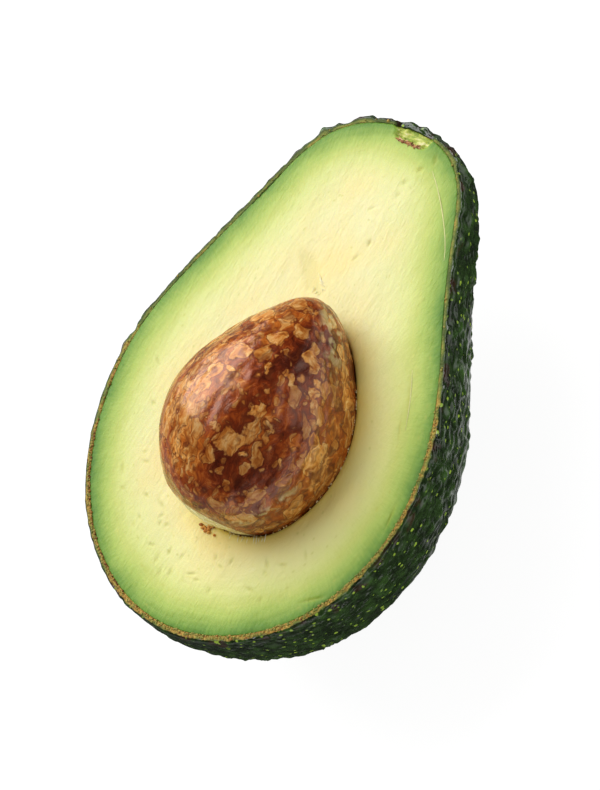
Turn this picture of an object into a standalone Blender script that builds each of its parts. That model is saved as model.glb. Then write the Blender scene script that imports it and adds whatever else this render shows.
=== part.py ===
"""Half of a pear-shaped avocado, cut lengthwise, with its seed still in place.

The half lies on its round back with the cut face up and level. +Y runs from the blossom end to the stem
end, +Z is up, and the origin is under the middle of the fruit, on the surface it rests on.
Every piece hangs from one empty, avocado_half, whose XY plane is the cut face.
"""

import math

import bmesh
import bpy
import numpy as np
from mathutils import Matrix, Vector

# Driving dimensions, in metres and degrees.

# The fruit: a round section whose radius, centre and depth change along the length.
FRUIT_LENGTH = 0.104  # blossom end to stem end
GIRTH_TERMS = (0.0374, 0.0043, 0.0021, -0.00345, 0.00115, -0.0003, -0.00025)  # pear outline, roundest term first
SIDE_DRIFT = (-0.0026, 0.00035, 0.0021)  # how far the middle wanders in X: terms in u, u squared and u cubed
DROP_MIDDLE = 0.00005  # how far the fruit's own axis lies under the cut face, half way along
DROP_BLOSSOM = 0.0060  # how much further at the blossom end
DROP_STEM = 0.0010  # how much further at the stem end
SKIN_THICKNESS = 0.0011
FLAT_DEPTH = 0.0013  # how far the back is pressed flat where the half rests
FIT_GAP = 0.0003  # between pieces that touch

# The seed: an egg with its point towards the stem.
SEED_LENGTH = 0.0449
SEED_TERMS = (0.0164, 0.0051, -0.0003, 0.0003, 0.0005)  # egg outline, roundest term first
SEED_RISE = 1.08  # height of its section over width
SEED_PLACE = (0.0043, -0.0082, 0.0035)  # its middle, from the middle of the cut face
SEED_TILT = 10.0  # its point is lifted this much out of the cut face
SEED_TURN = -4.2  # and turned this much about the vertical

# The stem scar: half of the woody button that the stalk left, in a notch at the stem end.
SCAR_OFFSET = 0.0012  # in X, from the end of the fruit's axis
SCAR_RADIUS = 0.0023
SCAR_TAPER = 0.8  # its inner end over its outer end
SCAR_INNER_END = 0.0031  # below the fruit's stem end, along Y
SCAR_OUTER_END = 0.0012

# Mesh fineness.
FRUIT_RINGS = 40
FRUIT_SIDES = 52
SEED_RINGS = 24
SEED_SIDES = 36
SCAR_SIDES = 24
SHARP_ANGLE = 40.0

# Colours as linear RGB, and roughness.
FINISHES = {
    "skin": ((0.020, 0.045, 0.018), 0.45),
    "flesh": ((0.78, 0.80, 0.30), 0.55),
    "seed": ((0.20, 0.050, 0.014), 0.25),
    "stem_scar": ((0.16, 0.085, 0.035), 0.85),
}


def outline(terms, angle):
    """Radius at an angle that runs from 0 at the blossom end to pi at the stem end."""
    return math.sin(angle) * sum(term * math.cos(order * angle) for order, term in enumerate(terms))


def fruit_station(angle):
    """Place along Y, radius, middle in X, and depth of the middle under the cut face, at one angle."""
    u = -math.cos(angle)
    drift = sum(term * u ** (power + 1) for power, term in enumerate(SIDE_DRIFT))
    drop = DROP_MIDDLE + DROP_BLOSSOM * min(u, 0.0) ** 2 + DROP_STEM * max(u, 0.0) ** 2
    return u * FRUIT_LENGTH / 2, outline(GIRTH_TERMS, angle), drift, drop


def fruit_extent():
    """Middle of the fruit's width in X, and its greatest depth under the cut face."""
    stations = [fruit_station(angle) for angle in np.linspace(0.0, math.pi, 721)]
    left = min(middle - radius for _, radius, middle, _ in stations)
    right = max(middle + radius for _, radius, middle, _ in stations)
    deepest = max(drop + radius for _, radius, _, drop in stations)
    return (left + right) / 2, deepest


MIDDLE_X, DEEPEST = fruit_extent()
CUT_HEIGHT = DEEPEST - FLAT_DEPTH


def closed_rings(stations, ring_points):
    """A closed mesh from a pole, rings of points and a second pole; stations include both ends."""
    mesh = bmesh.new()
    first, *middle, last = stations
    start_pole = mesh.verts.new(ring_points(first)[0])
    end_pole = mesh.verts.new(ring_points(last)[0])
    rings = [[mesh.verts.new(point) for point in ring_points(station)] for station in middle]
    sides = len(rings[0])
    for side in range(sides):
        after = (side + 1) % sides
        mesh.faces.new((start_pole, rings[0][after], rings[0][side]))
        mesh.faces.new((end_pole, rings[-1][side], rings[-1][after]))
        for ring, following in zip(rings, rings[1:]):
            mesh.faces.new((ring[side], ring[after], following[after], following[side]))
    bmesh.ops.recalc_face_normals(mesh, faces=mesh.faces)
    return mesh


def push_out(mesh, distance):
    """Moves the whole surface along its normals: outwards, or inwards where the distance is negative."""
    mesh.normal_update()
    moves = [(vert, vert.normal * distance) for vert in mesh.verts]
    for vert, move in moves:
        vert.co += move


def whole_fruit(inset):
    """The fruit before it is cut, its surface drawn in by inset."""

    def ring_points(angle):
        along, radius, middle, drop = fruit_station(angle)
        turns = [(side + 0.5) * 2 * math.pi / FRUIT_SIDES for side in range(FRUIT_SIDES)]
        return [
            (middle + radius * math.cos(turn), along, radius * math.sin(turn) - drop) for turn in turns
        ]

    mesh = closed_rings([math.pi * step / FRUIT_RINGS for step in range(FRUIT_RINGS + 1)], ring_points)
    push_out(mesh, -inset)
    return mesh


def slice_off(mesh, height, upper, capped):
    """Cuts the mesh at a height and drops what lies above it, or below where upper is False."""
    cut = bmesh.ops.bisect_plane(
        mesh,
        geom=mesh.verts[:] + mesh.edges[:] + mesh.faces[:],
        dist=1e-7,
        plane_co=(0.0, 0.0, height),
        plane_no=(0.0, 0.0, 1.0),
        clear_outer=upper,
        clear_inner=not upper,
    )
    if capped:
        rim = [item for item in cut["geom_cut"] if isinstance(item, bmesh.types.BMEdge)]
        bmesh.ops.triangle_fill(mesh, edges=rim, normal=(0.0, 0.0, 1.0 if upper else -1.0))


def half_fruit(inset, capped):
    """The lower half of the fruit with its flat spot, drawn in by inset all round but at the cut face."""
    mesh = whole_fruit(inset)
    slice_off(mesh, 0.0, upper=True, capped=capped)
    slice_off(mesh, inset - CUT_HEIGHT, upper=False, capped=True)
    return mesh


def finish_mesh(mesh, name):
    """Turns a bmesh into smooth-shaded mesh data with its faces pointing out."""
    bmesh.ops.recalc_face_normals(mesh, faces=mesh.faces)
    data = bpy.data.meshes.new(name)
    mesh.to_mesh(data)
    mesh.free()
    data.shade_smooth()
    data.set_sharp_from_angle(angle=math.radians(SHARP_ANGLE))
    return data


def finish_material(name):
    """A Principled material with the piece's colour and roughness."""
    colour, roughness = FINISHES[name]
    material = bpy.data.materials.new(name)
    material.use_nodes = True
    shader = material.node_tree.nodes["Principled BSDF"]
    shader.inputs["Base Color"].default_value = (*colour, 1.0)
    shader.inputs["Roughness"].default_value = roughness
    shader.inputs["Metallic"].default_value = 0.0
    return material


def add_object(name, data, parent):
    """Links an object into the scene under the parent."""
    made = bpy.data.objects.new(name, data)
    bpy.context.scene.collection.objects.link(made)
    made.parent = parent
    return made


def add_piece(name, mesh, parent):
    """One named piece of the fruit, with its own material."""
    data = finish_mesh(mesh, name)
    data.materials.append(finish_material(name))
    return add_object(name, data, parent)


def add_cutter(name, mesh, parent):
    """A solid that only cuts others."""
    cutter = add_object(name, finish_mesh(mesh, name), parent)
    cutter.hide_render = True
    cutter.display_type = "WIRE"
    return cutter


def cut_with(piece, cutter):
    """Takes the cutter's shape out of the piece."""
    boolean = piece.modifiers.new(cutter.name, "BOOLEAN")
    boolean.operation = "DIFFERENCE"
    boolean.solver = "EXACT"
    boolean.object = cutter


def skin_mesh():
    """The peel of the half: its outer and inner surface, joined by a level rim at the cut."""
    mesh = half_fruit(0.0, capped=False)
    inner = half_fruit(SKIN_THICKNESS, capped=False)
    bmesh.ops.reverse_faces(inner, faces=inner.faces)
    inner_data = bpy.data.meshes.new("skin_inside")
    inner.to_mesh(inner_data)
    inner.free()
    mesh.from_mesh(inner_data)
    bpy.data.meshes.remove(inner_data)
    rim = [edge for edge in mesh.edges if edge.is_boundary]
    bmesh.ops.triangle_fill(mesh, edges=rim, normal=(0.0, 0.0, 1.0))
    return mesh


def seed_mesh(gap):
    """The seed around its own middle, its surface pushed out by gap."""

    def ring_points(angle):
        along = -math.cos(angle) * SEED_LENGTH / 2
        radius = outline(SEED_TERMS, angle)
        turns = [side * 2 * math.pi / SEED_SIDES for side in range(SEED_SIDES)]
        return [(radius * math.cos(turn), along, SEED_RISE * radius * math.sin(turn)) for turn in turns]

    mesh = closed_rings([math.pi * step / SEED_RINGS for step in range(SEED_RINGS + 1)], ring_points)
    push_out(mesh, gap)
    return mesh


def place_seed(seed):
    """Sets the seed, or the hollow it leaves, in the cut face."""
    seed.location = SEED_PLACE
    seed.rotation_euler = (math.radians(SEED_TILT), 0.0, math.radians(SEED_TURN))


def scar_mesh(gap, outer_end):
    """A tapered plug along Y at the stem end; gap widens it and deepens it, to make its notch."""
    inner_end = SCAR_INNER_END + gap
    plug = bmesh.new()
    bmesh.ops.create_cone(
        plug,
        cap_ends=True,
        segments=SCAR_SIDES,
        radius1=SCAR_RADIUS + gap,
        radius2=SCAR_RADIUS * SCAR_TAPER + gap,
        depth=inner_end - outer_end,
    )
    stem_x = sum(SIDE_DRIFT) + SCAR_OFFSET
    middle_y = FRUIT_LENGTH / 2 - (inner_end + outer_end) / 2
    half_side = math.pi / SCAR_SIDES
    placing = (
        Matrix.Translation(Vector((stem_x, middle_y, 0.0)))
        @ Matrix.Rotation(math.radians(90.0), 4, "X")
        @ Matrix.Rotation(half_side, 4, "Z")
    )
    bmesh.ops.transform(plug, matrix=placing, verts=plug.verts)
    return plug


def make_avocado_half():
    """All the pieces, and the cutters that fit them to each other."""
    root = add_object("avocado_half", None, None)
    root.location = (-MIDDLE_X, 0.0, CUT_HEIGHT)

    skin = add_piece("skin", skin_mesh(), root)
    flesh = add_piece("flesh", half_fruit(SKIN_THICKNESS + FIT_GAP, capped=True), root)

    seed = add_piece("seed", seed_mesh(0.0), root)
    place_seed(seed)
    hollow = add_cutter("seed_hollow", seed_mesh(FIT_GAP), root)
    place_seed(hollow)
    cut_with(flesh, hollow)

    scar = scar_mesh(0.0, SCAR_OUTER_END)
    slice_off(scar, 0.0, upper=True, capped=True)
    add_piece("stem_scar", scar, root)
    notch = add_cutter("stem_notch", scar_mesh(FIT_GAP, -SCAR_RADIUS), root)
    cut_with(skin, notch)
    cut_with(flesh, notch)


for leftover in list(bpy.data.objects):
    bpy.data.objects.remove(leftover)
make_avocado_half()
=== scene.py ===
"""The looks of half an avocado with its seed, lying cut face up: a small Blender add-on, run as a script.

The frame gives the solids at their real size; every piece here stands where its solid lies. Lengths are in
metres, +Y runs from the blossom end to the stem end, and the cut face is level at the top of the flesh.
"""

import math
import random
from functools import partial

import bpy
import numpy as np
from mathutils import Euler, Matrix, Vector


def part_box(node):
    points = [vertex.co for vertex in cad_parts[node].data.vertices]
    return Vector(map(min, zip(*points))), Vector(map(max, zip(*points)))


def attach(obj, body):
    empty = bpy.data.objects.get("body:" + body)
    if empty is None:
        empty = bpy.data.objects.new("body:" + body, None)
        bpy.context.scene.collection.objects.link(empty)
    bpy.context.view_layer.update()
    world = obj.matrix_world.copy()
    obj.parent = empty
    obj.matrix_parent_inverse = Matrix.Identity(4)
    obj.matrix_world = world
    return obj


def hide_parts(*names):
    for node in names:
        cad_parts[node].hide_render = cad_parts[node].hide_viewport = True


bl_info = {
    "name": "Avocado Half",
    "version": (1, 0, 0),
    "blender": (4, 5, 0),
    "location": "3D View > Sidebar > Avocado",
    "description": "Models half an avocado with its seed around a fixed frame",
    "category": "Add Mesh",
}

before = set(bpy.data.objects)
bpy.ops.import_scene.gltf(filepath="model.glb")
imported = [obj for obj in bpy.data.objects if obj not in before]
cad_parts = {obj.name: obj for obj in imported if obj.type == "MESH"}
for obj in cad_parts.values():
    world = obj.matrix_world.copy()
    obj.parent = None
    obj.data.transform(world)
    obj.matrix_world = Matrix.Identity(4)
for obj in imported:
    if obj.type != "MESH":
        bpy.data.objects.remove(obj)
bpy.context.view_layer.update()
MM = 0.001

# Where things are, from the frame: everything on the fruit is measured from the middle of its cut face.
SKIN_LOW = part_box("skin")[0]
CUT_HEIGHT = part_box("flesh")[1].z
FRUIT_LENGTH = 2 * -SKIN_LOW.y

# The shape of the solids: round sections along the fruit, and an egg for the seed.
GIRTH_TERMS = (37.4 * MM, 4.3 * MM, 2.1 * MM, -3.45 * MM, 1.15 * MM, -0.3 * MM, -0.25 * MM)
SIDE_DRIFT = (-2.6 * MM, 0.35 * MM, 2.1 * MM)
DROP_MIDDLE, DROP_BLOSSOM, DROP_STEM = 0.05 * MM, 6.0 * MM, 1.0 * MM
SEED_LENGTH = 44.9 * MM
SEED_TERMS = (16.4 * MM, 5.1 * MM, -0.3 * MM, 0.3 * MM, 0.5 * MM)
SEED_RISE = 1.08
SEED_X, SEED_Y = 4.3 * MM, -8.2 * MM
SEED_PLACE = Vector((SEED_X, SEED_Y, 3.5 * MM))
SEED_TURN = Euler((math.radians(10.0), 0.0, math.radians(-4.2)))
FIT_GAP = 0.3 * MM

# Rays for the fruit's surfaces start over the middle of the seed, in the cut face.
HEART = np.array((SEED_X, SEED_Y, 0.0))
RAY_REACH = 80 * MM
RAY_STEPS = 34


def linear(hex_colour):
    """An sRGB hex colour as linear RGBA."""
    parts = [int(hex_colour[start : start + 2], 16) / 255 for start in (1, 3, 5)]
    rgb = [part / 12.92 if part <= 0.04045 else ((part + 0.055) / 1.055) ** 2.4 for part in parts]
    return (*rgb, 1.0)


# Settings that a user would change.


def length_setting(name, description, default):
    """A size in metres."""
    return bpy.props.FloatProperty(
        name=name, description=description, default=default, unit="LENGTH", precision=5
    )


def number_setting(name, description, default):
    """A plain number."""
    return bpy.props.FloatProperty(name=name, description=description, default=default)


def colour_setting(name, description, hex_colour):
    """A colour, given as sRGB hex."""
    colour = linear(hex_colour)
    return bpy.props.FloatVectorProperty(
        name=name, description=description, default=colour, subtype="COLOR", size=4, min=0.0, max=1.0
    )


class SkinSettings(bpy.types.PropertyGroup):
    """The peel."""

    thickness: length_setting("Thickness", "Width of the peel at the cut", 1.2 * MM)
    pebble_height: length_setting("Pebble height", "How far the pebbles stand out", 1.1 * MM)
    pebble_size: length_setting("Pebble size", "Distance from pebble to pebble", 2.5 * MM)
    # Green on the pebbles' tops runs to Shade between them: painted shade in the hollows.
    green: colour_setting("Green", "The waxy green of the pebbles", "#3a5a22")
    shade: colour_setting("Shade", "The darker green between pebbles", "#15230b")
    freckle: colour_setting("Freckle", "Paler green flecks", "#41602f")
    blush: colour_setting("Blush", "Brown patches near the cut", "#371b12")
    rind: colour_setting("Rind", "The green parts of the cut edge", "#40551f")
    lenticel: colour_setting("Lenticels", "The brighter corky dots", "#9cbb3c")
    dull_lenticel: colour_setting("Dull lenticels", "The duller corky dots", "#3f6426")


class FleshSettings(bpy.types.PropertyGroup):
    """The flesh."""

    relief: length_setting("Relief", "Height of the streaks on the cut face", 0.05 * MM)
    warm: colour_setting("Warm cream", "Colour of the warm patches", "#f0dc92")
    # Colour by the seed: the flesh's own yellow there, and painted shadow of the seed on one side.
    seed_yellow_and_shadow: colour_setting("By the seed", "Colour close to the seed", "#e4c64a")
    dash: colour_setting("Dashes", "Cut strands and dents", "#b9b850")


class SeedSettings(bpy.types.PropertyGroup):
    """The seed."""

    relief: length_setting("Relief", "Height of the ridges and dents", 0.22 * MM)
    dark: colour_setting("Dark brown", "Borders of the patches", "#561b05")
    pore: colour_setting("Pores", "Dots in the patches", "#74340f")
    dark_line: number_setting("Dark side", "Where the coat is darkest, in mm", 10.5)


class StageSettings(bpy.types.PropertyGroup):
    """Floor, light and camera."""

    floor: colour_setting("Floor", "The pale floor", "#6a6a69")
    floor_glow: number_setting("Floor glow", "Light through the floor", 0.93)
    floor_shine: number_setting("Floor shine", "How bright the floor mirrors", 1.8)
    under_shine: number_setting("Shine from below", "How bright the floor under the fruit mirrors", 0.75)
    room_light: number_setting("Room light", "Light from all round", 0.44)
    room_shine: number_setting("Room shine", "How bright the room mirrors", 0.05)
    key_light: number_setting("Key light", "Watts of the main light", 27.6)
    side_light: number_setting("Side light", "Watts of the side light", 0.9)
    camera_distance: length_setting("Camera distance", "From the camera to the fruit", 434 * MM)
    lens: number_setting("Lens", "Focal length in mm", 109.5)


class AvocadoSettings(bpy.types.PropertyGroup):
    """All the settings."""

    skin: bpy.props.PointerProperty(type=SkinSettings)
    flesh: bpy.props.PointerProperty(type=FleshSettings)
    seed: bpy.props.PointerProperty(type=SeedSettings)
    stage: bpy.props.PointerProperty(type=StageSettings)


# Shape of the fruit and the seed.


def egg_outline(terms, u):
    """Radius at u, which runs from -1 at the blossom end to 1 at the stem end."""
    angle = np.arccos(np.clip(-u, -1.0, 1.0))
    return np.sin(angle) * sum(term * np.cos(order * angle) for order, term in enumerate(terms))


def fruit_axis(u):
    """Where the middle of the section is: in X, and how far under the cut face."""
    middle = sum(term * u ** (power + 1) for power, term in enumerate(SIDE_DRIFT))
    drop = DROP_MIDDLE + DROP_BLOSSOM * np.minimum(u, 0) ** 2 + DROP_STEM * np.maximum(u, 0) ** 2
    return middle, drop


def half_width_middle():
    """Middle of the fruit's width, which the frame puts at x = 0."""
    u = np.linspace(-1, 1, 2001)
    radius, (middle, _) = egg_outline(GIRTH_TERMS, u), fruit_axis(u)
    return ((middle - radius).min() + (middle + radius).max()) / 2


MIDDLE_X = half_width_middle()


def outside_fruit(points):
    """Distance from the fruit's surface along its section, above zero outside it."""
    u = 2 * points[:, 1] / FRUIT_LENGTH
    middle, drop = fruit_axis(u)
    gap = np.hypot(points[:, 0] - middle, points[:, 2] + drop) - egg_outline(GIRTH_TERMS, u)
    return np.where(np.abs(u) < 1, gap, 1.0)


def outside_seed(points):
    """The same for the seed."""
    local = (points - np.array(SEED_PLACE)) @ np.array(SEED_TURN.to_matrix())
    u = 2 * local[:, 1] / SEED_LENGTH
    gap = np.hypot(local[:, 0], local[:, 2] / SEED_RISE) - egg_outline(SEED_TERMS, u)
    return np.where(np.abs(u) < 1, gap, 1.0)


def cast(directions, outside):
    """The point on a surface that a ray from the heart of the fruit reaches in each direction."""
    near = np.zeros(len(directions))
    far = np.full(len(directions), RAY_REACH)
    for _ in range(RAY_STEPS):
        middle = (near + far) / 2
        out = outside(HEART + directions * middle[:, None]) > 0
        far = np.where(out, middle, far)
        near = np.where(out, near, middle)
    return HEART + directions * near[:, None]


def surface_normals(points, outside):
    """Unit normals of a surface at points on it."""
    step = 0.05 * MM
    gradient = np.stack(
        [outside(points + step * axis) - outside(points - step * axis) for axis in np.eye(3)], axis=1
    )
    length = np.linalg.norm(gradient, axis=1, keepdims=True)
    return gradient / np.maximum(length, 1e-12)


def even_bearings():
    """Bearings from the heart that cut the rim of the fruit into equal arcs, and the rim's length."""
    bearing = np.linspace(0, 2 * math.pi, 4097)
    flat = np.stack([np.cos(bearing), np.sin(bearing), np.zeros_like(bearing)], axis=1)
    rim = cast(flat, outside_fruit)
    steps = np.linalg.norm(np.diff(rim, axis=0), axis=1)
    run = np.concatenate([[0.0], np.cumsum(steps)])
    return bearing, run / run[-1], run[-1]


BEARINGS, RIM_SHARES, RIM_LENGTH = even_bearings()


def directions(share, slope):
    """Unit directions from the heart at a share of the way round the rim, sloping down by an angle."""
    bearing = np.interp(share, RIM_SHARES, BEARINGS)
    level = np.cos(slope)
    return np.stack([level * np.cos(bearing), level * np.sin(bearing), -np.sin(slope)], axis=1)


# Noise and small helpers for whole arrays of points.


def smooth_step(low, high, values):
    """Runs from 0 to 1 between low and high, level at both ends."""
    share = np.clip((values - low) / (high - low), 0, 1)
    return share * share * (3 - 2 * share)


def lottery(cell, salt):
    """A number from 0 to 1 for each whole-number cell, the same every time."""
    mixed = (cell * np.array((73856093, 19349663, 83492791))).sum(axis=-1) + salt * 982451653
    for shift, factor in ((13, 1274126177), (15, 668265263)):
        mixed = ((mixed ^ (mixed >> shift)) * factor) & 0x7FFFFFFF
    return ((mixed ^ (mixed >> 12)) & 0xFFFFF) / 0xFFFFF


def wander(points, size, octaves=3, salt=0):
    """Smooth noise, mostly within -1 to 1, with features of the given size along X, Y and Z."""
    place, weight, total = points / np.array(size), 1.0, 0.0
    for octave in range(octaves):
        cell = np.floor(place).astype(np.int64)
        part = place - cell
        ease = part**3 * (part * (part * 6 - 15) + 10)
        for corner in np.ndindex(2, 2, 2):
            salts = [salt + 41 * octave + 7 * axis for axis in range(3)]
            slope = np.stack([lottery(cell + corner, each) - 0.5 for each in salts], axis=-1)
            share = np.prod(np.where(corner, ease, 1 - ease), axis=-1)
            total = total + 3.2 * weight * share * ((part - corner) * slope).sum(axis=-1)
        place, weight = place * 2.03 + 5.7, weight / 2
    return total


def bend(points, size, by, salt=0):
    """Points pushed about by noise."""
    return points + by * np.stack([wander(points, size, 2, salt + 100 * axis) for axis in range(3)], axis=-1)


def cells(points, size, salt=0):
    """Distance in cell sizes to the nearest of the dots scattered one to a cell, and that dot's draw."""
    place = points / np.array(size)
    cell = np.floor(place).astype(np.int64)
    near = np.full(len(place), 9.0)
    draw = near.copy()
    for step in np.ndindex(3, 3, 3):
        at = cell + step - np.array((1, 1, 1))
        dot = at + np.stack([lottery(at, salt + 7 * axis) for axis in range(3)], axis=-1)
        gap = np.linalg.norm(place - dot, axis=-1)
        draw = np.where(gap < near, lottery(at, salt + 50), draw)
        near = np.minimum(near, gap)
    return near, draw


def spot(points, x, y, length, width, turn_degrees):
    """1 at the middle of a soft oval on the cut face, falling to 0 outside it."""
    turn = math.radians(turn_degrees)
    dx, dy = points[:, 0] - x * MM, points[:, 1] - y * MM
    along = (dx * math.cos(turn) + dy * math.sin(turn)) / (length * MM / 2)
    across = (dy * math.cos(turn) - dx * math.sin(turn)) / (width * MM / 2)
    return np.exp(-(along**2 + across**2) * 1.4)


def in_notch(points):
    """1 where the stalk tore out of the stem end, 0 elsewhere on the cut face."""
    x, y = points[:, 0] / MM, points[:, 1] / MM
    jag = 0.25 * np.sin(x * 2.9) + 0.15 * np.sin(x * 7.1 + 1)
    beyond = smooth_step(0.0, 0.45, y - 48.35 + 0.09 * (x + 0.8) + jag)
    left = smooth_step(-0.25, 0.25, x + 1.2 + 0.62 * (y - 48.4) + 0.3 * np.sin(y * 4.0))
    right = 1 - smooth_step(0.0, 1.6, x - 5.0 - 0.4 * (y - 48.4))
    return beyond * left * right


# Blender helpers.


def deselect_all():
    """Leaves nothing selected, so an operator acts only on what is picked next."""
    if bpy.context.mode != "OBJECT":
        bpy.ops.object.mode_set(mode="OBJECT")
    bpy.ops.object.select_all(action="DESELECT")


def pick(piece):
    """Leaves only this piece selected and active."""
    deselect_all()
    piece.select_set(True)
    bpy.context.view_layer.objects.active = piece


def add_sheet(name, segments, rings):
    """A flat grid to be wrapped round and closed, with the segment and the ring that each point is on."""
    deselect_all()
    bpy.ops.mesh.primitive_grid_add(x_subdivisions=segments, y_subdivisions=rings, size=2.0)
    sheet = bpy.context.active_object
    sheet.name = name
    sheet.data.name = name
    flat = read_points(sheet)
    segment = np.rint((flat[:, 0] + 1) / 2 * segments).astype(int)
    ring = np.rint((flat[:, 1] + 1) / 2 * rings).astype(int)
    return sheet, segment, ring


def close_up(piece):
    """Joins points that meet, as at the edges of a wrapped sheet, and turns the faces outwards."""
    pick(piece)
    bpy.ops.object.mode_set(mode="EDIT")
    bpy.ops.mesh.select_all(action="SELECT")
    bpy.ops.mesh.remove_doubles(threshold=1e-7)
    bpy.ops.mesh.normals_make_consistent(inside=False)
    bpy.ops.object.mode_set(mode="OBJECT")


def read_points(piece):
    """The mesh's points as an array."""
    points = np.empty(len(piece.data.vertices) * 3)
    piece.data.vertices.foreach_get("co", points)
    return points.reshape(-1, 3)


def write_points(piece, points):
    """Moves the mesh's points."""
    piece.data.vertices.foreach_set("co", np.ascontiguousarray(points, dtype=np.float32).ravel())
    piece.data.update()


def write_attribute(piece, name, values):
    """A number for each point that a material can read."""
    attribute = piece.data.attributes.new(name, "FLOAT", "POINT")
    attribute.data.foreach_set("value", np.ascontiguousarray(values, dtype=np.float32))


def to_world(points):
    """From the middle of the cut face to the frame."""
    return points + np.array((-MIDDLE_X, 0.0, CUT_HEIGHT))


def settle(piece, replaced):
    """Smooth shading, and the piece's place in the object."""
    pick(piece)
    bpy.ops.object.shade_smooth()
    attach(piece, "root")
    if replaced:
        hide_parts(replaced)


# Materials. Patterns are laid out in millimetres, so a noise of scale 1 / 3 has features 3 mm across. Inputs
# given in order are, for MapRange, a value, the two it runs between and the two they become (0 and 1 unless
# given), and for MULTIPLY_ADD two factors and what is added to their product.


def wire(tree, kind, inputs=(), output=0, stops=None, **settings):
    """Adds a shader node with its settings, and inputs given by name or in order; returns one output."""
    node = tree.nodes.new("ShaderNode" + kind)
    for name, value in settings.items():
        setattr(node, name, value)
    if stops:
        elements = node.color_ramp.elements
        while len(elements) < len(stops):
            elements.new(0.5)
        for element, (position, colour) in zip(elements, stops.items()):
            element.position = position
            element.color = linear(colour)
    for socket, value in inputs.items() if isinstance(inputs, dict) else enumerate(inputs):
        if isinstance(value, bpy.types.NodeSocket):
            tree.links.new(value, node.inputs[socket])
        else:
            node.inputs[socket].default_value = value
    return node.outputs[output] if node.outputs else None


def new_material(name):
    """An empty node material, and the function above set up to add nodes to it."""
    material = bpy.data.materials.new(name)
    material.use_nodes = True
    material.node_tree.nodes.clear()
    return material, partial(wire, material.node_tree)


def in_millimetres(add, place=None):
    """Object coordinates, or others given in metres, in millimetres."""
    place = place or add("TexCoord", output="Object")
    return add("VectorMath", {0: place, "Scale": 1000.0}, operation="SCALE")


def blend(add, share, one, other):
    """One colour turning into another."""
    return add("Mix", {0: share, 6: one, 7: other}, output=2, data_type="RGBA")


def off(add, value, middle):
    """How far a value is from a middle one."""
    gap = add("Math", (value, middle), operation="SUBTRACT")
    return add("Math", (gap,), operation="ABSOLUTE")


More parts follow.
